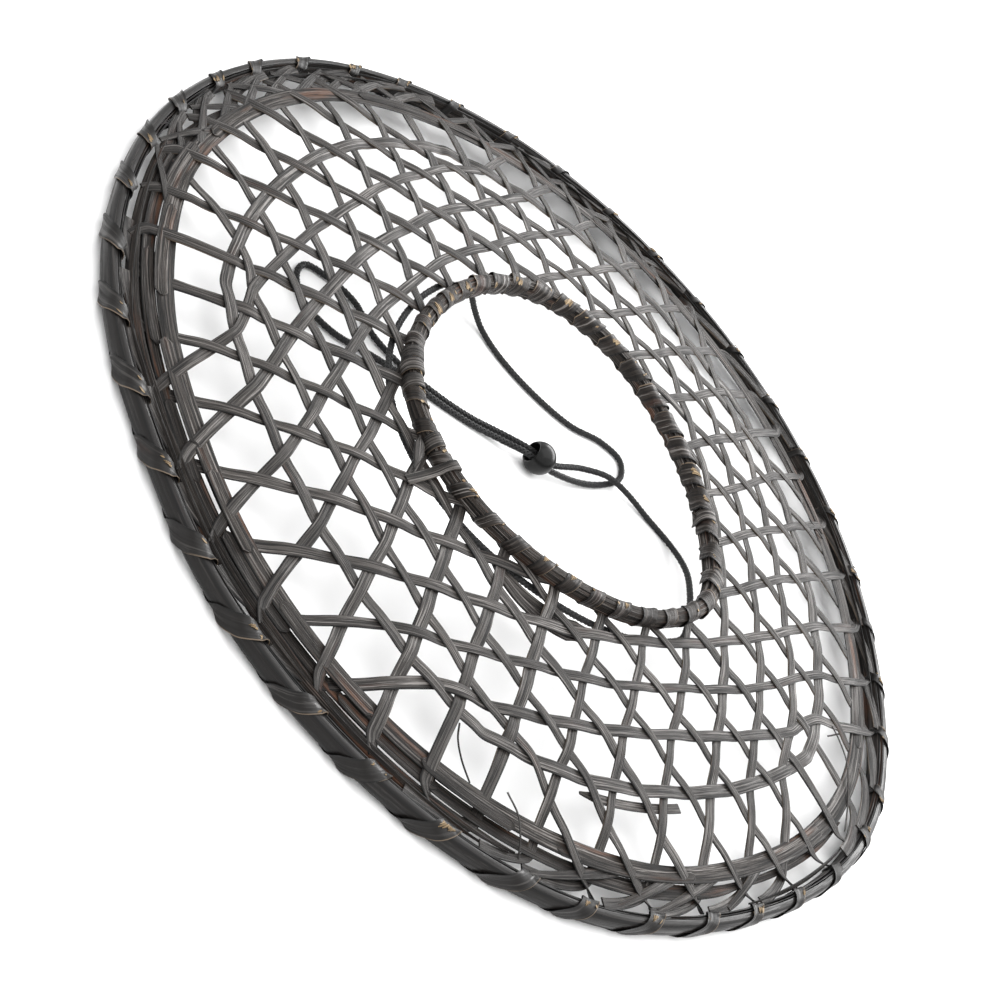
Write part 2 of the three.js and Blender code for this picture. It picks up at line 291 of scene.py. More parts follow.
# Shares of the width and of the thickness
STRIP_SECTION = np.array([
    (0.5, -0.2), (0.5, 0.2), (0.45, 0.5), (0.2, 0.6), (-0.2, 0.6), (-0.45, 0.5),
    (-0.5, 0.2), (-0.5, -0.2), (-0.45, -0.5), (0.45, -0.5),
])
# How much further along the grain each strip starts, in metres, so that no two look alike
GRAIN_OFFSET = 0.37


def add_strip(piece, points, width, thick, normals=UP, roll=0.0, closed=False):
    """A flat strip of split bamboo along the points."""
    side, top = frames(points, np.broadcast_to(normals, points.shape), roll, closed)
    widths = np.broadcast_to(width, len(points))[:, None, None]
    thicks = np.broadcast_to(thick, len(points))[:, None, None]
    rings = points[:, None] + side[:, None] * STRIP_SECTION[:, :1] * widths
    rings = rings + top[:, None] * STRIP_SECTION[:, 1:] * thicks
    along = path_lengths(points, closed) * MILLIMETRE + piece.strips * GRAIN_OFFSET
    piece.skin(rings, along, STRIP_SECTION[:, 0] * 0.98 + piece.strips + 0.5, closed)
    piece.strips += 1


# Weave

# How far over or under the middle of the weave a strip passes, and how many times that at the band
WEAVE_LIFT = 0.42
BAND_OVER = 2.3
BAND_UNDER = -1.7
BAND_DEPTH = 8
PASS_LENGTH = 2.6
FLAT_REACH = 230
STATION = 1.6
# A strip that meets the opening within this reach of its middle ends there, this far outside it
BRIDGE = 60
INTO_COLLAR = 4.6
TAIL_RADIUS = 213
TAIL_STATIONS = 22
HOOP_STRIP_WIDTH = 6.2
NEAR_SIDE = math.radians(240)
DENSE_BRIM = (112, 300)
# How a strip ends at the rim. Columns: least and most of its reach round the rim in degrees, radius,
# height, turn in degrees and narrowing, then how straight it leaves and how straight it ends
TAILS = {
    "tucked": ((1.2, 2.2), (218.2, 219.6), (8.4, 9.2), (-24, -4), (0.55, 0.8), 0.9, 0.1),
    "folded": ((1.8, 3.4), (220.6, 221.6), (5.4, 7.0), (-66, -40), (0.35, 0.55), 0.9, 0.2),
    "flat": ((6.0, 9.5), (221.2, 222.6), (8.6, 9.6), (-6, 10), (1.1, 1.3), 0.7, 0.55),
}


def crossings(row_distance):
    """Where a strip that far from the middle meets the others along its flat layout, and on which
    side it passes: over the strips that lie 60 degrees further round, under the others."""
    met = []
    for other in range(ROWS):
        distance = (other + 0.5) * STRIP_PITCH
        near = (2 * distance - row_distance) / math.sqrt(3)
        far = (2 * distance + row_distance) / math.sqrt(3)
        met += [(near, 1), (-near, -1), (far, -1), (-far, 1)]
    hoop = (2 * HOOP_ROW - row_distance) / math.sqrt(3)
    band = (2 * BAND_ROW - row_distance) / math.sqrt(3)
    met += [(hoop, 1), (-hoop, -1)]
    for place in (band, band + BAND_DEPTH):
        met += [(place, BAND_OVER), (-place, BAND_UNDER)]
    return [event for event in sorted(met) if abs(event[0]) <= band + BAND_DEPTH + 1]


def passing_height(events, along):
    """How far over or under the middle of the weave a strip lies, level close to each crossing."""
    places = np.array([place for place, side in events])
    sides = np.array([side for place, side in events], float)
    room = np.minimum(np.diff(places) * 0.3, PASS_LENGTH)
    before = places - np.concatenate([[PASS_LENGTH], room])
    after = places + np.concatenate([room, [PASS_LENGTH]])
    knots = np.stack([before, after], axis=1).ravel()
    levels = np.repeat(sides, 2)
    index = np.clip(np.searchsorted(knots, along), 1, len(knots) - 1)
    share = (along - knots[index - 1]) / np.maximum(knots[index] - knots[index - 1], 1e-6)
    return levels[index - 1] + smoothstep(share) * (levels[index] - levels[index - 1])


def tail(points, seed):
    """Carries a strip on from the brim to the rim, with how far it turns over and narrows. Strips
    that run one way round are tucked in or folded by the inner hoop, others end flat along it."""
    random = np.random.default_rng(seed)
    start = points[-1]
    heading = unit(points[-1] - points[-4])
    angle = math.atan2(start[1], start[0])
    sense = 1 if start[0] * heading[1] - start[1] * heading[0] > 0 else -1
    dense = DENSE_BRIM[0] < math.degrees(angle) % 360 < DENSE_BRIM[1]
    kind = "flat" if sense < 0 else "tucked" if dense else "folded"
    *limits, leaving, ending = TAILS[kind]
    reach, radius, level, roll, narrow = [random.uniform(*pair) for pair in limits]
    turned = angle + sense * math.radians(reach)
    end = np.array([radius * math.cos(turned), radius * math.sin(turned), level])
    facing = sense * np.array([-math.sin(turned), math.cos(turned), 0])
    share = np.linspace(0, 1, TAIL_STATIONS)[1:, None]
    pull = np.linalg.norm(end - start)
    path = (2 * share**3 - 3 * share**2 + 1) * start + (3 * share**2 - 2 * share**3) * end
    path = path + (share**3 - 2 * share**2 + share) * heading * pull * leaving
    path = path + (share**3 - share**2) * facing * pull * ending
    eased = smoothstep(share[:, 0] * 1.1)
    return path, eased * math.radians(roll), 1 + eased * (narrow - 1)


def add_woven_strip(piece, direction, row, seed):
    distance = (row + 0.5) * STRIP_PITCH
    stray = wander(seed, size=0.55, wavelength=90)
    reach = np.arange(-FLAT_REACH, FLAT_REACH + 0.1, STATION)
    radius, angle = flat_to_plan(direction, distance + stray(reach), reach)
    level = passing_height(crossings(distance), reach) * WEAVE_LIFT
    points = smoothed(polar(radius, angle, brim_height(radius) + level), reach=3)
    clear = radius > opening_radius(angle) + INTO_COLLAR
    kept = clear & (radius < TAIL_RADIUS)
    random = np.random.default_rng(seed + 500)
    width = STRIP_WIDTH * random.uniform(0.8, 1.04)
    unbroken = clear[np.abs(reach) < BRIDGE].all()
    runs = [kept] if unbroken else [kept & (reach < 0), kept & (reach >= 0)]
    for number, run in enumerate(runs):
        path = points[run]
        rolls = np.zeros(len(path))
        shares = np.ones(len(path))
        if unbroken or number == 0:
            extra, turn, narrow = tail(path[::-1], seed * 2)
            path = np.vstack([extra[::-1], path])
            rolls = np.concatenate([-turn[::-1], rolls])
            shares = np.concatenate([narrow[::-1], shares])
        if unbroken or number == 1:
            extra, turn, narrow = tail(path, seed * 2 + 1)
            path = np.vstack([path, extra])
            rolls = np.concatenate([rolls, turn])
            shares = np.concatenate([shares, narrow])
        lengths = path_lengths(path)
        lean = wander(seed + 900 + number, math.radians(4), 45)(lengths)
        nearness = 0.96 + 0.09 * np.cos(np.arctan2(path[:, 1], path[:, 0]) - NEAR_SIDE)
        widths = width * nearness * shares * (1 + wander(seed + 300 + number, 0.06, 60)(lengths))
        add_strip(piece, path, widths, STRIP_THICK, roll=rolls + lean)


def turn_in_sector(angle):
    """The flat layout's turn from the nearest direction, at an angle round the hat."""
    total = (angle - FIRST_DIRECTION) / SPREAD
    return total - SECTOR * np.round(total / SECTOR)


def hoop_level(angle):
    """Height of the hoop strip as it goes over and under the others round the hat."""
    along = HOOP_ROW * np.tan(turn_in_sector(angle))
    events = []
    for other in range(ROWS):
        near = (2 * (other + 0.5) * STRIP_PITCH - HOOP_ROW) / math.sqrt(3)
        events += [(near, 1), (-near, -1)]
    corner = HOOP_ROW * math.tan(SECTOR / 2)
    events += [(-corner, -1), (corner, 1)]
    return passing_height(sorted(events), along)


def make_weave(material):
    piece = Piece("woven_strips")
    for direction in range(DIRECTIONS):
        for row in range(ROWS):
            add_woven_strip(piece, direction, row, 10 * direction + row + 1)
    angle = np.linspace(0, 2 * math.pi, 900, endpoint=False)
    turn = turn_in_sector(angle)
    radius = plan_radius(HOOP_ROW / np.cos(turn), turn) + ring_wander(3, 0.5, 5)(angle)
    height = brim_height(radius) + hoop_level(angle) * WEAVE_LIFT
    path = smoothed(polar(radius, angle, height), reach=4, closed=True)
    width = HOOP_STRIP_WIDTH * (1 + ring_wander(4, 0.04, 6)(angle))
    add_strip(piece, path, width, STRIP_THICK, closed=True)
    return piece.make(material)


# Rings that run round the hat

STEPS_PER_RADIAN = 100


def ring_splint(piece, seed, radius, height, width, thick, roll, stray, span=(0, 360), taper=8):
    """A long splint round the hat between two angles, narrowing to its ends."""
    start, end = math.radians(span[0]), math.radians(span[1])
    whole = span[1] - span[0] >= 360
    count = max(24, round((end - start) * STEPS_PER_RADIAN))
    angle = np.linspace(start, end, count, endpoint=not whole)
    distance = radius + ring_wander(seed, stray, 4)(angle)
    level = height + ring_wander(seed + 1, 0.25, 5)(angle)
    widths = width * (1 + ring_wander(seed + 2, 0.07, 7)(angle))
    if not whole:
        from_end = np.minimum(angle - start, end - angle) * radius
        widths = widths * (0.25 + 0.75 * smoothstep(from_end / taper))
    add_strip(piece, polar(distance, angle, level), widths, thick, roll=roll, closed=whole)


def add_brim_splints(piece, seed, rows, thick, stray, taper):
    """Splints that lie along the brim between two angles."""
    for number, (start, end, radius, width, rise, lean) in enumerate(rows):
        ring_splint(
            piece, seed + 3 * number, radius, brim_height(radius) + rise, width, thick,
            roll=math.radians(lean), stray=stray, span=(start, end), taper=taper,
        )


BAND_RADIUS = 205.4
# Columns: start and end in degrees, radius, width, height over the brim, lean in degrees
LOOSE_SPLINTS = [
    (188, 342, 212.0, 6.0, -0.5, 0), (196, 262, 214.8, 4.4, -1.0, 0), (250, 304, 215.8, 4.0, -0.5, 0),
    (286, 336, 211.2, 4.6, -1.0, 0), (10, 66, 211.4, 2.8, -0.5, 0), (70, 124, 211.6, 4.2, -1.0, 0),
    (128, 168, 211.8, 3.2, -0.5, 0), (330, 366, 211.4, 3.4, -1.0, 0),
]
SHORT_SPLINTS = [
    (20, 41, 206.6, 5.4, 0.8, 0), (58, 83, 207.4, 4.8, 0.8, 3), (101, 118, 206.0, 5.6, 0.8, 0),
    (139, 163, 206.8, 5.2, 0.8, 4), (176, 197, 206.2, 6.0, 0.8, 0), (201, 213, 208.6, 6.2, 0.9, 6),
    (214, 229, 206.4, 6.6, 0.8, 2), (222, 236, 211.8, 5.2, 0.4, 8), (235, 249, 207.6, 7.0, 0.9, 3),
    (243, 253, 213.2, 5.0, 0.4, 10), (252, 262, 206.2, 6.2, 0.8, 0), (259, 271, 211.0, 6.6, 0.7, 7),
    (268, 283, 206.8, 6.6, 0.8, 4), (279, 293, 211.6, 5.4, 0.4, 6), (290, 303, 206.8, 6.0, 0.8, 2),
    (309, 331, 207.0, 5.6, 0.8, 0), (340, 356, 206.2, 5.2, 0.8, 3),
]
LAID_SPLINTS = [
    (198, 236, 219.8, 3.8, 0.9, 52), (214, 252, 217.4, 3.4, 0.9, 30), (230, 268, 220.4, 3.4, 0.9, 60),
    (240, 282, 218.2, 3.6, 0.9, 38), (262, 300, 220.0, 3.8, 0.9, 56), (272, 303, 217.8, 3.2, 0.9, 30),
    (340, 366, 220.4, 3.0, 0.9, 58), (30, 70, 220.2, 3.6, 0.9, 60), (96, 140, 219.6, 3.8, 0.9, 56),
    (150, 186, 220.4, 3.2, 0.9, 60),
]


def make_band(material):
    piece = Piece("band_splints")
    level = brim_height(BAND_RADIUS) + 0.15
    lean = math.radians(4)
    ring_splint(piece, 20, BAND_RADIUS, level, width=8.4, thick=0.7, stray=0.7, roll=lean)
    add_brim_splints(piece, 200, LOOSE_SPLINTS, thick=0.7, stray=0.9, taper=30)
    add_brim_splints(piece, 240, SHORT_SPLINTS, thick=0.5, stray=0.7, taper=1.0)
    return piece.make(material)


def make_rim_inner(material):
    piece = Piece("rim_inner_splints")
    ring_splint(piece, 60, 223.2, 5.5, width=8.0, thick=0.9, roll=UPRIGHT, stray=0.15)
    ring_splint(piece, 63, 224.5, 6.1, width=8.0, thick=0.7, roll=UPRIGHT, stray=0.12)
    add_brim_splints(piece, 70, LAID_SPLINTS, thick=0.6, stray=1.1, taper=40)
    return piece.make(material)


# Columns: radius, height
RIM_HOOP_SECTION = np.array([
    (225.1, 1.25), (226.6, 1.2), (227.6, 1.5), (228.4, 2.2), (229.0, 3.3), (229.3, 4.8),
    (229.3, 6.4), (229.0, 8.0), (228.4, 9.2), (227.6, 9.85), (226.6, 10.2), (225.1, 10.1),
])


def make_rim_hoop(material):
    """The half-round outer hoop."""
    piece = Piece("rim_outer_splint")
    angle = np.linspace(0, 2 * math.pi, 300, endpoint=False)
    stray = ring_wander(90, 0.12, 9)(angle)
    lines = [polar(radius + stray, angle, height) for radius, height in RIM_HOOP_SECTION]
    rings = np.stack(lines, axis=1)
    across = path_lengths(RIM_HOOP_SECTION) / STRIP_WIDTH
    along = np.linspace(0, 2 * math.pi * RIM_RADIUS * MILLIMETRE, len(angle) + 1)
    piece.skin(rings[:, ::-1], along, across[::-1], closed=True)
    return piece.make(material)


# Windings

# The sections that the wraps follow, from the inside over the top and back underneath. Columns:
# radius for the rim, distance from the opening for the collar, then height and share of the advance
RIM_SECTION = [
    (222.3, 1.6, 0), (222.2, 5.4, 0.03), (222.3, 9.5, 0.06), (222.9, 10.2, 0.08),
    (225.0, 10.65, 0.12), (226.7, 10.5, 0.16), (227.9, 10.0, 0.2), (228.8, 9.2, 0.24),
    (229.35, 8.0, 0.29), (229.62, 6.3, 0.36), (229.6, 4.6, 0.44), (229.3, 3.2, 0.52),
    (228.6, 2.1, 0.58), (227.6, 1.3, 0.62), (226.6, 0.95, 0.66), (223.2, 0.9, 0.96),
]
COLLAR_SECTION = [
    (0.8, 22.8, 0), (0.35, 25.4, 0.08), (0.5, 27.9, 0.14), (1.3, 29.5, 0.18), (2.6, 30.15, 0.23),
    (4.3, 30.35, 0.28), (6.0, 30.1, 0.34), (7.3, 29.2, 0.38), (8.1, 27.7, 0.42), (8.2, 25.4, 0.47),
    (7.5, 23.4, 0.5), (6.3, 22.2, 0.52), (2.0, 21.9, 0.96),
]
SECTION_POINTS = 56
WRAP_THICK = 0.35
# Share of its width that a wrap keeps underneath, and how far a single closed wrap leans
UNDERNEATH = 0.42
HOOP_LEAD = 0.03


def smooth_loop(values):
    return (np.roll(values, 1) + 2 * values + np.roll(values, -1)) / 4


def from_the_middle(angle):
    """The rim's section is measured from the middle of the hat."""
    return angle * 0


class Winding:
    """A strip wound round and round a hoop, each turn further clockwise seen from above."""

    def __init__(self, section, turns, radius_at, seed):
        self.turns = turns
        self.radius_at = radius_at
        outline = np.array([*section, section[0]], float)
        outline[-1, 2] = 1
        places = path_lengths(outline[:, :2])
        self.share = np.linspace(0, 1, SECTION_POINTS, endpoint=False)
        here = self.share * places[-1]
        self.offset = smooth_loop(np.interp(here, places, outline[:, 0]))
        self.height = smooth_loop(np.interp(here, places, outline[:, 1]))
        self.lead = np.interp(here, places, outline[:, 2])
        self.outward = unit(np.stack([-np.gradient(self.height), np.gradient(self.offset)], axis=1))
        self.shift = np.random.default_rng(seed).uniform(-0.08, 0.08, turns + 1)
        self.shift[-1] = self.shift[0]

    def at(self, turn, share, aside=0.0, proud=0.0):
        """Points and outward directions of one turn, moved aside along the hoop and off it."""
        lead = np.interp(share, np.append(self.share, 1), np.append(self.lead, 1))
        offset, height, out, rise = [
            np.interp(share, self.share, values, period=1)
            for values in (self.offset, self.height, self.outward[:, 0], self.outward[:, 1])
        ]
        moved = self.shift[turn] * (1 - lead) + self.shift[turn + 1] * lead
        angle = -(turn + lead + moved) / self.turns * 2 * math.pi
        radius = self.radius_at(angle) + offset
        angle = angle + aside / radius
        points = polar(self.radius_at(angle) + offset + out * proud, angle, height + rise * proud)
        return points, polar(out, angle, rise)

    def hoop(self, angle, proud):
        """A closed loop round the hoops at one angle, that far off them."""
        radius = self.radius_at(angle) + self.offset + self.outward[:, 0] * proud
        path = polar(radius, angle + self.lead * HOOP_LEAD, self.height + self.outward[:, 1] * proud)
        return path, polar(self.outward[:, 0], angle, self.outward[:, 1])

    def make(self, name, material, width, seed, swell, widest):
        """The whole winding, wider on one side of the hat by that share, and narrow underneath."""
        parts = [self.at(turn, self.share) for turn in range(self.turns)]
        path = np.vstack([points for points, normals in parts])
        normals = np.vstack([normals for points, normals in parts])
        angle = np.arctan2(path[:, 1], path[:, 0])
        above = smoothstep((path[:, 2] - self.height.min() - 0.2) / 2.6)
        side = 1 + swell * np.cos(angle - math.radians(widest))
        uneven = 1 + wander(seed, 0.09, 110)(path_lengths(path))
        widths = width * (UNDERNEATH + (1 - UNDERNEATH) * above) * side * uneven
        piece = Piece(name)
        add_strip(piece, path, widths, WRAP_THICK, normals=unit(normals), closed=True)
        return piece.make(material)

    def add_chip(self, piece, angle, around, length, width):
        """A frayed patch of pale fibre on the wrap nearest to that angle in degrees."""
        turn = (-angle / 360) % 1 * self.turns
        aside = (turn % 1 - 0.5) * -3
        for strand, reach in enumerate((0.7, 1.0, 0.85, 0.5)):
            share = around + length * np.linspace(0.12 * (strand % 2), reach, 6)
            points, normals = self.at(int(turn), share, aside + (strand - 1.5) * width * 0.24, 0.4)
            narrowing = width * np.linspace(0.3, 0.1, 6)
            add_strip(piece, points, narrowing, thick=0.3, normals=normals)

    def add_slivers(self, piece, seed, often, around, width):
        """Broken fibres at the edges of the wraps, at about that share of the way round."""
        random = np.random.default_rng(seed)
        for turn in range(self.turns):
            if random.random() > often:
                continue
            for _ in range(random.integers(1, 4)):
                first = around + random.uniform(-0.05, 0.03)
                share = np.linspace(first, first + random.uniform(0.03, 0.08), 7)
                side = random.choice([-1, 1]) * (width / 2 - random.uniform(0, 0.8))
                aside = side + np.linspace(0, random.uniform(-1.4, 1.4), 7)
                points, normals = self.at(turn, share, aside, 0.35)
                points = points + normals * np.linspace(0, random.uniform(0, 0.8), 7)[:, None] ** 2
                taper = np.sin(np.linspace(0.25, math.pi - 0.1, 7))
                width_here = random.uniform(0.6, 1.6) * taper
                add_strip(piece, points, width_here, thick=0.25, normals=normals)


# Collar

# Columns: seed, distance from the opening, height, width, thickness, stray, lean in degrees
COLLAR_INNER = [
    (110, 1.25, 25.5, 5.8, 0.9, 0.15, 90), (113, 2.2, 25.7, 6.8, 0.8, 0.15, 90),
    (116, 2.7, 29.3, 2.8, 0.9, 0.2, -14),
]
COLLAR_OUTER = [
    (120, 7.3, 25.9, 4.6, 0.9, 0.15, 86), (123, 6.2, 26.2, 5.2, 0.8, 0.15, 90),
    (126, 4.7, 29.5, 2.6, 0.9, 0.25, 0), (129, 6.5, 28.9, 2.3, 0.8, 0.2, 34),
]


def make_collar(name, splints, material):
    """Closed splints round the head opening."""
    piece = Piece(name)
    angle = np.linspace(0, 2 * math.pi, 360, endpoint=False)
    for seed, offset, height, width, thick, stray, lean in splints:
        radius = opening_radius(angle) + offset + ring_wander(seed, stray, 5)(angle)
        level = height + ring_wander(seed + 1, 0.15, 6)(angle)
        path = polar(radius, angle, level)
        add_strip(piece, path, width, thick, roll=math.radians(lean), closed=True)
    return piece.make(material)


# Cord

CORD_LEFT = (-87.3, 21.25, 17.95)
CORD_RIGHT = (93.2, 14.2, 18.1)
FREE_CORD = [
    CORD_LEFT, (-84, 26.7, 16.3), (-78.2, 34, 8.6), (-70.5, 38.6, 2.7), (-57, 38, LAID),
    (-34, 41.6, LAID), (-9, 52.3, LAID), (6, 66.5, LAID), (18, 70.6, LAID), (25.4, 61.5, LAID),
    (23.4, 44, LAID), (16, 25.5, 2.9), (4.4, 6.5, 6.2), (-1.3, 1.8, 7), (-7.1, -2.1, 7.8),
    (-18.5, -6.2, 3.7), (-34, -17.3, LAID), (-51, -28.8, LAID), (-67.2, -37.9, LAID),
    (-82.5, -49.3, LAID), (-97.5, -61.3, LAID), (-114, -65.2, LAID), (-127, -58.2, LAID),
    (-130.8, -47.5, LAID), (-121.5, -39.2, LAID), (-106, -33.6, LAID), (-89, -37.5, LAID),
    (-70, -33.4, LAID), (-52.8, -25.2, LAID), (-36, -13.8, LAID), (-20.5, -2.2, 3.7),
    (-9.3, 1, 7.8), (-3.7, 5.2, 7), (2, 9.8, 6.2), (12, 34, 4.3), (22.4, 46.3, 5.7),
    (33.1, 53.3, 4.2), (48, 58.9, LAID), (67, 60.2, 2.3), (79.3, 47.5, 8.6), (89.4, 22.5, 17),
    CORD_RIGHT,
]


def held_cord_route():
    """Under the net, just outside the collar, from the right-hand drop round the front."""
    angle = np.radians(np.linspace(-14, -176, 19))
    round_front = polar(opening_radius(angle) + 12.2, angle, 20.3)
    start = [(93.41, 13.75, 18.13), (96.5, 7.2, 18.1), (100, -0.5, 18.2), (101.2, -8.5, 18.7)]
    return [*start, *round_front.tolist(), (-91.9, 13.1, 18.8), (-87.61, 20.75, 18.04)]


def carried_frames(points):
    """Side and top directions carried along a path without twist."""
    tangents = unit(np.gradient(points, axis=0))
    side = unit(np.cross(tangents[0], UP))
    sides = []
    for tangent in tangents:
        side = side - tangent * side.dot(tangent)
        side = side / np.linalg.norm(side)
        sides.append(side)
    sides = np.array(sides)
    return sides, np.cross(tangents, sides)


BRAID_LENGTH = 8.4
STRANDS_EACH_WAY = 4
CORE_RADIUS = 0.85
STRAND_RADIUS = 1.1
STRAND_WEAVE = 0.2
STRAND_SIZE = (0.62, 0.36)
CORD_SIDES = 6


def add_tube(piece, path, centres, across, out, size, row):
    """A tube of oval section on the centres, which lie along the path."""
    share = np.arange(CORD_SIDES) / CORD_SIDES
    turns = share * 2 * math.pi
    rings = centres[:, None] + across[:, None] * np.cos(turns)[None, :, None] * size[0]
    rings = rings + out[:, None] * np.sin(turns)[None, :, None] * size[1]
    piece.skin(rings, path_lengths(path) * MILLIMETRE, row + share)


def make_cord(name, route, material):
    """A round braid of strands, half each way round, over a core."""
    piece = Piece(name, out_of_round=False)
    path = curve_through(route, BRAID_LENGTH / 10)
    side, top = carried_frames(path)
    theta = path_lengths(path) / BRAID_LENGTH * 2 * math.pi
    add_tube(piece, path, path, side, top, (CORE_RADIUS, CORE_RADIUS), 0)
    row = 0
    for sense in (1, -1):
        for strand in range(STRANDS_EACH_WAY):
            row += 1
            around = sense * theta + strand * math.pi / 2
            out = np.cos(around)[:, None] * side + np.sin(around)[:, None] * top
            across = np.sin(around)[:, None] * side - np.cos(around)[:, None] * top
            radius = STRAND_RADIUS + sense * STRAND_WEAVE * np.cos(STRANDS_EACH_WAY * theta)
            add_tube(piece, path, path + out * radius[:, None], across, out, STRAND_SIZE, row)
    return piece.make(material, sharp=80), path


# Bead

BALL_RADIUS = 7.8
BORE_RADIUS = 4.75
BEVEL = 0.75
BEAD_PLACE = np.array([-2.5, 3.5, BALL_RADIUS + 0.1])


def bead_profile():
    """Pairs of distance from the bead's axis and height along it, round the bore and the ball."""
    mouth = math.asin((BORE_RADIUS + BEVEL) / BALL_RADIUS)
    lip = BALL_RADIUS * math.cos(mouth)
    turns = np.linspace(mouth, math.pi - mouth, 25)
    outer = [(BALL_RADIUS * math.sin(turn), BALL_RADIUS * math.cos(turn)) for turn in turns]
    rounded = []
    for turn in np.linspace(0, math.pi / 2, 7)[1:]:
        radius = BORE_RADIUS + BEVEL * (1 - math.sin(turn))
        rounded.append((radius, lip - BEVEL * (1 - math.cos(turn))))
    inside = [(BORE_RADIUS, height) for height in np.linspace(lip - BEVEL, BEVEL - lip, 5)[1:-1]]
    return rounded + inside + [(radius, -height) for radius, height in rounded[::-1]] + outer[::-1]


def make_bead(material):
    """A ball with a wide bevelled bore along X, turned into line with the two strands."""
    profile = bead_profile()
    angle = np.linspace(0, 2 * math.pi, 64, endpoint=False)
    lines = []
    for radius, height in profile:
        line = [np.full(len(angle), height), radius * np.cos(angle), radius * np.sin(angle)]
        lines.append(np.stack(line, axis=1))
    rings = np.stack(lines, axis=1)
    turn = Matrix.Rotation(math.radians(36), 3, "Z") @ Matrix.Rotation(math.radians(8), 3, "Y")
    rings = rings @ np.array(turn).T + BEAD_PLACE
    piece = Piece("cord_bead", out_of_round=False)
    across = np.linspace(0, 1, len(profile))
    along = np.linspace(0, 2 * math.pi * BALL_RADIUS * MILLIMETRE, len(angle) + 1)
    piece.skin(rings[:, ::-1], along, across[::-1], closed=True)
    return piece.make(material)


# Shaders

class Number:
    """A number in a shader, so that shader maths reads as ordinary maths."""

    def __init__(self, shader, socket):
        self.shader = shader
        self.socket = socket

    def apply(self, operation, first, second=0.0):
        node = self.shader.node("ShaderNodeMath", {"operation": operation}, {0: first, 1: second})
        return Number(self.shader, node.outputs[0])

    def __add__(self, other):
        return self.apply("ADD", self, other)

    __radd__ = __add__

    def __sub__(self, other):
        return self.apply("SUBTRACT", self, other)

    def __rsub__(self, other):
        return self.apply("SUBTRACT", other, self)

    def __mul__(self, other):
        return self.apply("MULTIPLY", self, other)

    def __abs__(self):
        return self.apply("ABSOLUTE", self)

    def fraction(self):
        return self.apply("FRACT", self)

    def whole(self):
        return self.apply("FLOOR", self)

    def smooth(self, low, high):
        settings = {"interpolation_type": "SMOOTHSTEP"}
        inputs = {"Value": self, "From Min": low, "From Max": high}
        made = self.shader.node("ShaderNodeMapRange", settings, inputs)
        return Number(self.shader, made.outputs[0])


class Shader:
    """A material built node by node."""

    def __init__(self, name):
        self.material = bpy.data.materials.new(name)
        self.material.use_nodes = True
        self.tree = self.material.node_tree
        self.tree.nodes.clear()

    def put(self, socket, value):
        if isinstance(value, Number):
            value = value.socket
        if isinstance(value, bpy.types.NodeSocket):
            self.tree.links.new(value, socket)
        else:
            socket.default_value = value

    def node(self, kind, settings=None, inputs=None):
        made = self.tree.nodes.new(kind)
        for key, value in (settings or {}).items():
            setattr(made, key, value)
        for key, value in (inputs or {}).items():
            self.put(made.inputs[key], value)
        return made

    def place(self):
        """U along the grain in metres, and V across it."""
        made = self.node("ShaderNodeUVMap", {"uv_map": "UVMap"})
        parts = self.node("ShaderNodeSeparateXYZ", None, {0: made.outputs[0]})
        return Number(self, parts.outputs[0]), Number(self, parts.outputs[1])

    def radius(self):
        """Distance from the hat's upright axis in metres."""
        made = self.node("ShaderNodeTexCoord")
        parts = self.node("ShaderNodeSeparateXYZ", None, {0: made.outputs["Object"]})
        flat = self.node("ShaderNodeCombineXYZ", None, {0: parts.outputs[0], 1: parts.outputs[1]})
        length = self.node("ShaderNodeVectorMath", {"operation": "LENGTH"}, {0: flat.outputs[0]})
        return Number(self, length.outputs["Value"])

    def noise(self, x, y, detail=2.0, roughness=0.5):
        vector = self.node("ShaderNodeCombineXYZ", None, {0: x, 1: y})
        inputs = {"Vector": vector.outputs[0], "Scale": 1, "Detail": detail, "Roughness": roughness}
        made = self.node("ShaderNodeTexNoise", {"noise_dimensions": "2D"}, inputs)
        return Number(self, made.outputs[0])

    def chance(self, value):
        made = self.node("ShaderNodeTexWhiteNoise", {"noise_dimensions": "1D"}, {"W": value})
        return Number(self, made.outputs[0])

    def mix(self, factor, first, second):
        settings = {"data_type": "RGBA"}
        return self.node("ShaderNodeMix", settings, {0: factor, 6: first, 7: second}).outputs[2]

    def finish(self, colour, roughness, bump, strength, distance, coat=0.0, reflecting=0.25):
        inputs = {"Height": bump, "Strength": strength, "Distance": distance}
        normal = self.node("ShaderNodeBump", None, inputs)
        inputs = {
            "Base Color": colour, "Roughness": roughness, "Normal": normal.outputs[0],
            "Specular IOR Level": reflecting, "Coat Weight": coat,
        }
        surface = self.node("ShaderNodeBsdfPrincipled", None, inputs)
        self.node("ShaderNodeOutputMaterial", None, {0: surface.outputs[0]})
        return self.material


# Materials

# Radius in metres where painted shade starts to darken the bamboo out at the brim, and where it is
# darkest
BRIM_SHADE = (0.196, 0.214)
WORN = (0.215, 0.20, 0.19, 1)
CRACK = (0.002, 0.002, 0.002, 1)
# Near-black of the cord, and of the strips' darkened long edges, which are partly painted shade
EDGE = (0.004, 0.004, 0.004, 1)
PALE_EDGE = (0.18, 0.135, 0.095, 1)


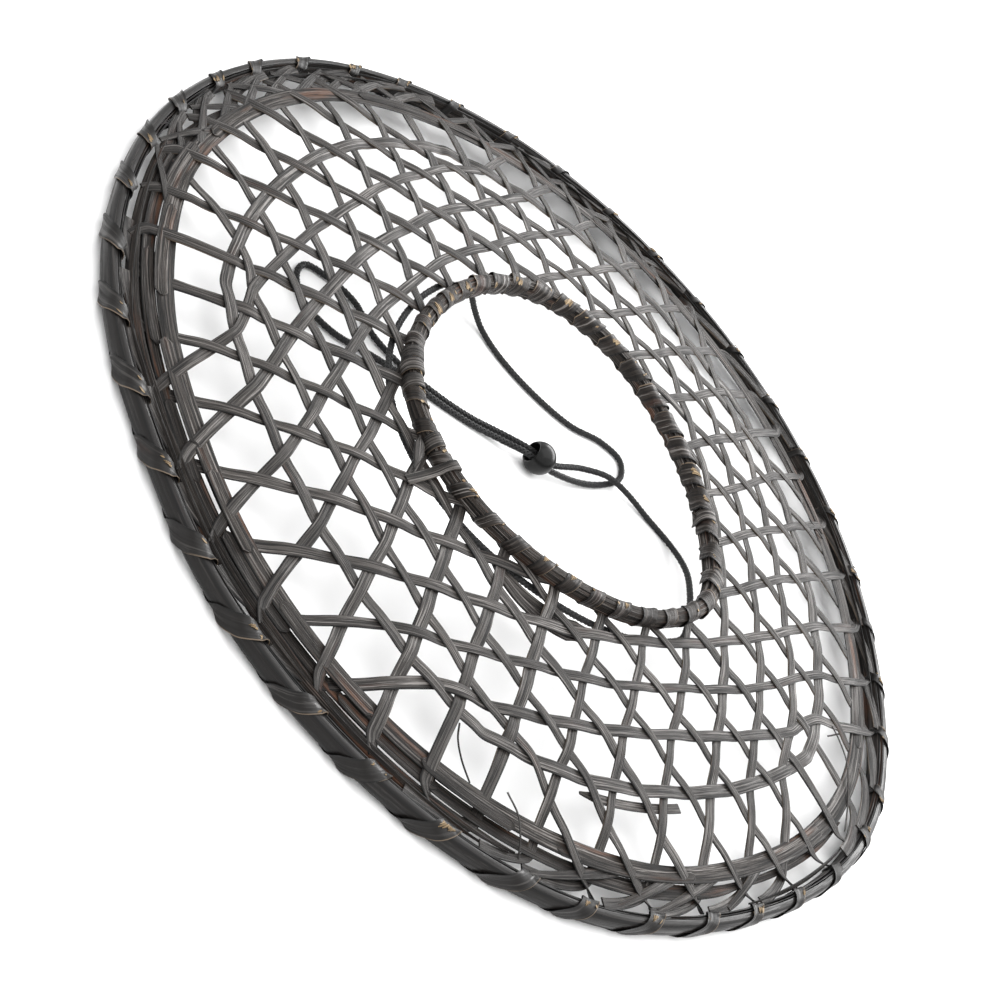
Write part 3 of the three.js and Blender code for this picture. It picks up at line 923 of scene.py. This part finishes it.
def bamboo(
    name, dark, light, red, rough, red_share,
    streaks=7.0, pale_edge=0.0, contrast=1.0, cracks=0.0, gloss=0.16,
):
    """Dyed split bamboo, with lines along its grain, faded patches, one edge worn paler, and painted
    shade that darkens it out at the brim.
    """
    shader = Shader(name)
    u, v = shader.place()
    broad = shader.noise(u * 11 + 7.3, v * 1.7)
    lines = shader.noise(u * 22, v * streaks, 4.0, 0.7)
    hairs = shader.noise(u * 50 + 31, v * (streaks * 2.6), 2.0, 0.6)
    patch = shader.noise(u * 20 + 3.1, v * 1.3 + 11)
    # brim is painted shade: it darkens the tone of the bamboo out past the band towards the rim
    brim = shader.radius().smooth(*BRIM_SHADE)
    tone = (shader.chance(v.whole()) * 0.6 + 0.55) * (1 - brim * 0.44)
    across = v.fraction()
    grain = (lines * 0.75 + hairs * 0.25).smooth(0.42, 0.58)
    shade = grain * contrast + (1 - contrast) * 0.5
    body = shader.mix((shade * 0.8 + broad.smooth(0.3, 0.7) * 0.2) * tone, dark, light)
    body = shader.mix(patch.smooth(0.62 - red_share, 0.86 - red_share) * 0.7, body, red)
    # The worn streaks are dimmed out at the brim by the painted shade as well
    worn = lines.smooth(0.55, 0.63) * broad.smooth(0.38, 0.62) * (1 - brim * 0.65)
    body = shader.mix(worn * 0.8 * contrast, body, WORN)
    body = shader.mix((1 - lines.smooth(0.37, 0.44)) * cracks, body, CRACK)
    # The long edges are darkened, partly the bamboo's own dark edges and partly painted shade
    # standing for the dark outlines where strips cross and overlap
    edge = abs(across - 0.5).smooth(0.37, 0.47)
    body = shader.mix(edge * 0.85, body, EDGE)
    pale = across.smooth(0.93, 0.96) * hairs.smooth(0.46, 0.54) * pale_edge
    colour = shader.mix(pale, body, PALE_EDGE)
    roughness = rough + 0.14 - grain * 0.28
    bump = lines * 0.7 + hairs * 0.3
    return shader.finish(colour, roughness, bump, contrast, 0.0006, reflecting=gloss)


def plain(name, dark, light, rough, coat=0.0, strength=0.1, scale=900.0, reflecting=0.3):
    """A surface with only faint mottling."""
    shader = Shader(name)
    u, v = shader.place()
    speck = shader.noise(u * scale, v * 9, 3.0)
    colour = shader.mix(speck, dark, light)
    return shader.finish(colour, rough + speck * 0.1, speck, strength, 0.0001, coat, reflecting)


DARK = (0.0055, 0.0045, 0.004, 1)
RUST = (0.042, 0.019, 0.013, 1)
GREY = (0.064, 0.057, 0.052, 1)
BROWN = (0.033, 0.025, 0.0195, 1)
TAN = (0.030, 0.0238, 0.0198, 1)
SMOOTH = (0.012, 0.0112, 0.0108, 1)
BURNT = (0.088, 0.036, 0.017, 1)
STRAW_DARK = (0.09, 0.058, 0.027, 1)
STRAW = (0.46, 0.34, 0.2, 1)
STRAW_RED = (0.2, 0.1, 0.055, 1)
STRIP = bamboo(
    "strip_bamboo", DARK, GREY, RUST, rough=0.42, red_share=-0.02, streaks=8.0, pale_edge=0.3,
    cracks=0.6,
)
SPLINT = bamboo(
    "splint_bamboo", DARK, BROWN, BURNT, rough=0.55, red_share=0.06, streaks=9.0, cracks=1.0,
)
WRAP = bamboo(
    "wrap_bamboo", DARK, TAN, RUST, rough=0.4, red_share=0.02, pale_edge=0.8, contrast=0.8,
    cracks=0.4,
)
RIM_WRAP = bamboo(
    "rim_wrap_bamboo", DARK, SMOOTH, RUST, rough=0.42, red_share=-0.06, streaks=5.0, pale_edge=0.6,
    contrast=0.4, gloss=0.2,
)
HOOP = bamboo(
    "hoop_bamboo", DARK, SMOOTH, RUST, rough=0.40, red_share=-0.12, streaks=3.0, contrast=0.3,
    gloss=0.2,
)
FIBRE = bamboo("fibre_bamboo", STRAW_DARK, STRAW, STRAW_RED, rough=0.6, red_share=0.0, streaks=2.0)
CORD = plain("cord_fibre", EDGE, (0.026, 0.026, 0.027, 1), 0.45, strength=0.4)
BEAD = plain("bead_lacquer", CRACK, (0.005, 0.005, 0.005, 1), 0.26, coat=0.1, reflecting=0.16)
FLOOR = plain(
    "pale_floor", (0.88, 0.88, 0.88, 1), (0.9, 0.9, 0.9, 1), 0.9, strength=0.0, scale=3.0,
)


# Windings and main pieces

rim_winding = Winding(RIM_SECTION, RIM_TURNS, from_the_middle, seed=7)
collar_winding = Winding(COLLAR_SECTION, COLLAR_TURNS, opening_radius, seed=8)

pieces = [
    (make_weave(STRIP), "woven_net", "strip"),
    (make_band(SPLINT), "brim_band", "splint"),
    (make_rim_hoop(HOOP), "rim_outer_hoop", "hoop"),
    (make_rim_inner(SPLINT), "rim_inner_hoop", "splint"),
    (
        rim_winding.make("rim_wraps", RIM_WRAP, width=6.1, seed=7, swell=0.42, widest=258),
        "rim_lashing", "strip",
    ),
    (make_collar("collar_inner_splints", COLLAR_INNER, SPLINT), "collar_inner_hoop", "splint"),
    (make_collar("collar_outer_splints", COLLAR_OUTER, SPLINT), "collar_outer_hoop", "splint"),
    (
        collar_winding.make("collar_wraps", WRAP, width=9.2, seed=8, swell=0.3, widest=85),
        "collar_lashing", "strip",
    ),
]


# Pale chips and mends, in the scene alone

# Columns: angle in degrees, share of the way round the section, share of its length, width
COLLAR_CHIPS = [
    (196, 0.26, 0.20, 4.4), (188, 0.28, 0.14, 3.6), (171, 0.30, 0.14, 3.4), (126, 0.26, 0.22, 4.6),
    (108, 0.28, 0.16, 4.0), (60, 0.26, 0.22, 4.2), (48, 0.30, 0.12, 3.0), (268, 0.30, 0.12, 3.2),
    (290, 0.32, 0.10, 2.6), (302, 0.30, 0.12, 3.0), (330, 0.32, 0.10, 2.4), (147, 0.27, 0.12, 3.0),
]
RIM_CHIPS = [
    (288, 0.34, 0.12, 4.6), (262, 0.34, 0.09, 2.6), (245, 0.35, 0.09, 2.4), (206, 0.34, 0.10, 3.2),
    (214, 0.34, 0.08, 2.2), (297, 0.35, 0.08, 2.6), (307, 0.35, 0.08, 2.4), (316, 0.34, 0.09, 2.8),
    (188, 0.35, 0.09, 2.6), (161, 0.35, 0.09, 2.4), (60, 0.35, 0.10, 3.0), (35, 0.35, 0.10, 2.8),
    (48, 0.30, 0.08, 2.4), (84, 0.35, 0.08, 2.2), (108, 0.35, 0.08, 2.2), (340, 0.35, 0.08, 2.4),
]


def make_slivers():
    piece = Piece("broken_fibres")
    rim_winding.add_slivers(piece, 31, often=0.8, around=0.36, width=7.4)
    collar_winding.add_slivers(piece, 33, often=0.5, around=0.36, width=8.4)
    collar_winding.add_slivers(piece, 34, often=0.25, around=0.25, width=8.4)
    for winding, chips in ((collar_winding, COLLAR_CHIPS), (rim_winding, RIM_CHIPS)):
        for angle, around, length, width in chips:
            winding.add_chip(piece, angle, around, length, width)
    return piece.make(FIBRE)


TIED_ANGLE = 259.6
# Rows of angle in degrees, distance from the opening, height
TIED_STRIP = [
    (260.1, 0.0, 23.5), (260.1, -0.5, 25.6), (260.0, -0.3, 28.2), (259.9, 0.6, 30.2),
    (259.8, 2.4, 31.2), (259.7, 4.4, 31.4), (259.6, 6.6, 31.1), (259.5, 8.6, 29.9),
    (259.4, 11.0, 28.0), (259.3, 16.0, 26.2), (259.2, 22.0, 25.2), (259.1, 29.0, 24.2),
]
# Rows of angle in degrees, radius, height
TUCKED_STRIPS = [
    [(249, 97, 26.4), (252, 101, 27.2), (255, 104.5, 26.2), (257, 108, 24.9)],
    [(283, 97, 21.2), (291, 98, 20.4), (300, 99, 19.9), (310, 100, 20.6), (316, 99, 21.8)],
    [(287, 99, 20.8), (296, 103, 19.6), (305, 106, 19.8), (313, 107, 21.0)],
]
LOOSE_HAIRS = [
    [(292.2, 182, 16.2), (293.0, 187, 14.0), (294.8, 192, 11.0), (297.0, 197, 8.5)],
    [(17.7, 186, 16.4), (16.5, 193, 15.5), (14.5, 200, 14.6), (10.0, 208, 12.6), (5.0, 216, 10.5)],
    [(15.0, 185, 16.2), (17.5, 190, 14.0), (20.5, 197, 12.5), (24.0, 203, 12.9)],
    [(301, 196, 14.6), (303, 203, 13.9), (304, 211, 11.6), (304.5, 218, 8.8)],
    [(67, 184, 17.0), (63, 190, 17.4), (59, 198, 14.6), (57, 206, 12.5)],
]
# Columns: angle in degrees, how far off the collar
EXTRA_WRAPS = [(221.5, 0.5), (226.5, 0.9), (232.0, 0.5), (42.0, 0.6), (251.0, 0.5)]
# Columns: degrees at the rim, degrees at the band, width
LACED_STRIPS = [
    (150, 157, 4.4), (156, 164, 5.0), (162, 169, 4.6), (167, 175, 5.2), (173, 182, 4.8),
    (179, 187, 5.2), (185, 193, 4.8), (191, 200, 5.0), (198, 206, 4.6), (205, 214, 4.4),
    (160, 153, 4.0), (168, 160, 4.4), (177, 168, 4.2), (186, 177, 4.6), (195, 187, 4.2),
    (204, 196, 4.2), (104, 111, 3.8), (113, 120, 4.0), (122, 128, 3.8), (131, 138, 4.0),
    (140, 147, 4.2), (112, 106, 3.6), (122, 115, 3.8), (132, 125, 3.6), (142, 135, 4.0),
    (151, 144, 3.8), (306, 318, 5.4), (318, 327, 5.6), (324, 335, 5.4), (336, 344, 4.6),
]
# Radius and height at the rim, and radius at the band
LACED_FROM, LACED_LEVEL, LACED_TO = 221.4, 9.0, 207.0
BROKEN_STATIONS = 40


def add_tied_strip(piece):
    """The strip that is tied over the collar at the front."""
    inner = float(opening_radius(math.radians(TIED_ANGLE)))
    route = placed([(angle, inner + offset, height) for angle, offset, height in TIED_STRIP])
    leaning = UP + polar(-0.8, math.radians(TIED_ANGLE), 0.0)
    add_strip(piece, curve_through(route, 1.2), width=4.9, thick=0.6, normals=leaning)


def add_broken_splint(piece):
    """The splint that has come loose from the weave at the near right."""
    angle = np.radians(np.linspace(312, 331, BROKEN_STATIONS))
    radius = np.linspace(179.5, 177.0, BROKEN_STATIONS)
    taper = np.minimum(1, np.linspace(0.3, 6, BROKEN_STATIONS))
    add_strip(piece, polar(radius, angle, brim_height(radius) - 0.9), 4.6 * taper, thick=0.6)


def make_mends():
    """Strips put on by hand: one tied over the collar, others tucked in, and loose fibres."""
    piece = Piece("tied_strips")
    add_tied_strip(piece)
    for route in TUCKED_STRIPS:
        path = curve_through(placed(route), 1.2)
        along = path_lengths(path)
        to_end = np.minimum(along, along[-1] - along)
        taper = np.clip(to_end / 6, 0.25, 1)
        add_strip(piece, path, 4.8 * taper, thick=0.7, roll=math.radians(14))
    for angle, proud in EXTRA_WRAPS:
        path, out = collar_winding.hoop(math.radians(angle), proud)
        add_strip(piece, path, width=7.0, thick=0.5, normals=out, closed=True)
    for route in LOOSE_HAIRS:
        add_strip(piece, curve_through(placed(route), 1.0), width=0.8, thick=0.35)
    add_broken_splint(piece)
    share = np.linspace(0, 1, 16)
    for number, (outside, inside, width) in enumerate(LACED_STRIPS):
        radius = LACED_FROM + (LACED_TO - LACED_FROM) * share
        end_level = brim_height(LACED_TO) - 0.4 + 0.7 * (number % 2)
        level = LACED_LEVEL + (end_level - LACED_LEVEL) * smoothstep(share * 1.4)
        angle = np.radians(outside + (inside - outside) * share)
        add_strip(piece, polar(radius, angle, level), width * (0.55 + 0.45 * share), thick=0.6)
    return piece.make(STRIP)


for made in (make_slivers(), make_mends()):
    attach(made, "root")


# Cord, bead and what each piece stands for

free_cord, free_path = make_cord("braided_cord", FREE_CORD, CORD)
held_cord = make_cord("braided_cord_held", held_cord_route(), CORD)[0]
bead = make_bead(BEAD)
pieces.append((free_cord, "chin_cord", "cord"))
pieces.append((held_cord, "collar_cord", "cord"))
pieces.append((bead, "slider_bead", "bead"))
for made, node, slot in pieces:
    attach(made, "root")
    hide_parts(node)

free_points = (free_path * MILLIMETRE).tolist()
float(path_lengths(free_path)[-1]) * MILLIMETRE


# Floor and light

def make_floor():
    mesh = bpy.data.meshes.new("floor")
    corners = [(-6, -6, 0), (6, -6, 0), (6, 6, 0), (-6, 6, 0)]
    mesh.from_pydata(corners, [], [(0, 1, 2, 3)])
    layer = mesh.uv_layers.new(name="UVMap")
    layer.data.foreach_set("uv", [0.0, 0.0, 1.0, 0.0, 1.0, 1.0, 0.0, 1.0])
    mesh.materials.append(FLOOR)
    floor = bpy.data.objects.new("floor", mesh)
    bpy.context.scene.collection.objects.link(floor)


def add_softbox(name, place, target, size, power):
    data = bpy.data.lights.new(name, "AREA")
    data.shape = "RECTANGLE"
    data.size, data.size_y = size
    data.energy = power
    light = bpy.data.objects.new(name, data)
    bpy.context.scene.collection.objects.link(light)
    light.location = place
    light.rotation_mode = "QUATERNION"
    light.rotation_quaternion = (Vector(target) - Vector(place)).to_track_quat("-Z", "Y")


make_floor()
add_softbox("softbox_top", (0.1, 0.2, 2.0), (0, 0, 0), (2.4, 2.4), 28)
add_softbox("softbox_back", (0.35, 1.7, 0.9), (0, 0.1, 0), (2.2, 0.7), 52)
world = bpy.data.worlds.new("studio")
world.use_nodes = True
world.node_tree.nodes["Background"].inputs[0].default_value = (1, 1, 1, 1)
world.node_tree.nodes["Background"].inputs[1].default_value = 1.5
bpy.context.scene.world = world
bpy.context.scene.view_settings.view_transform = "Standard"
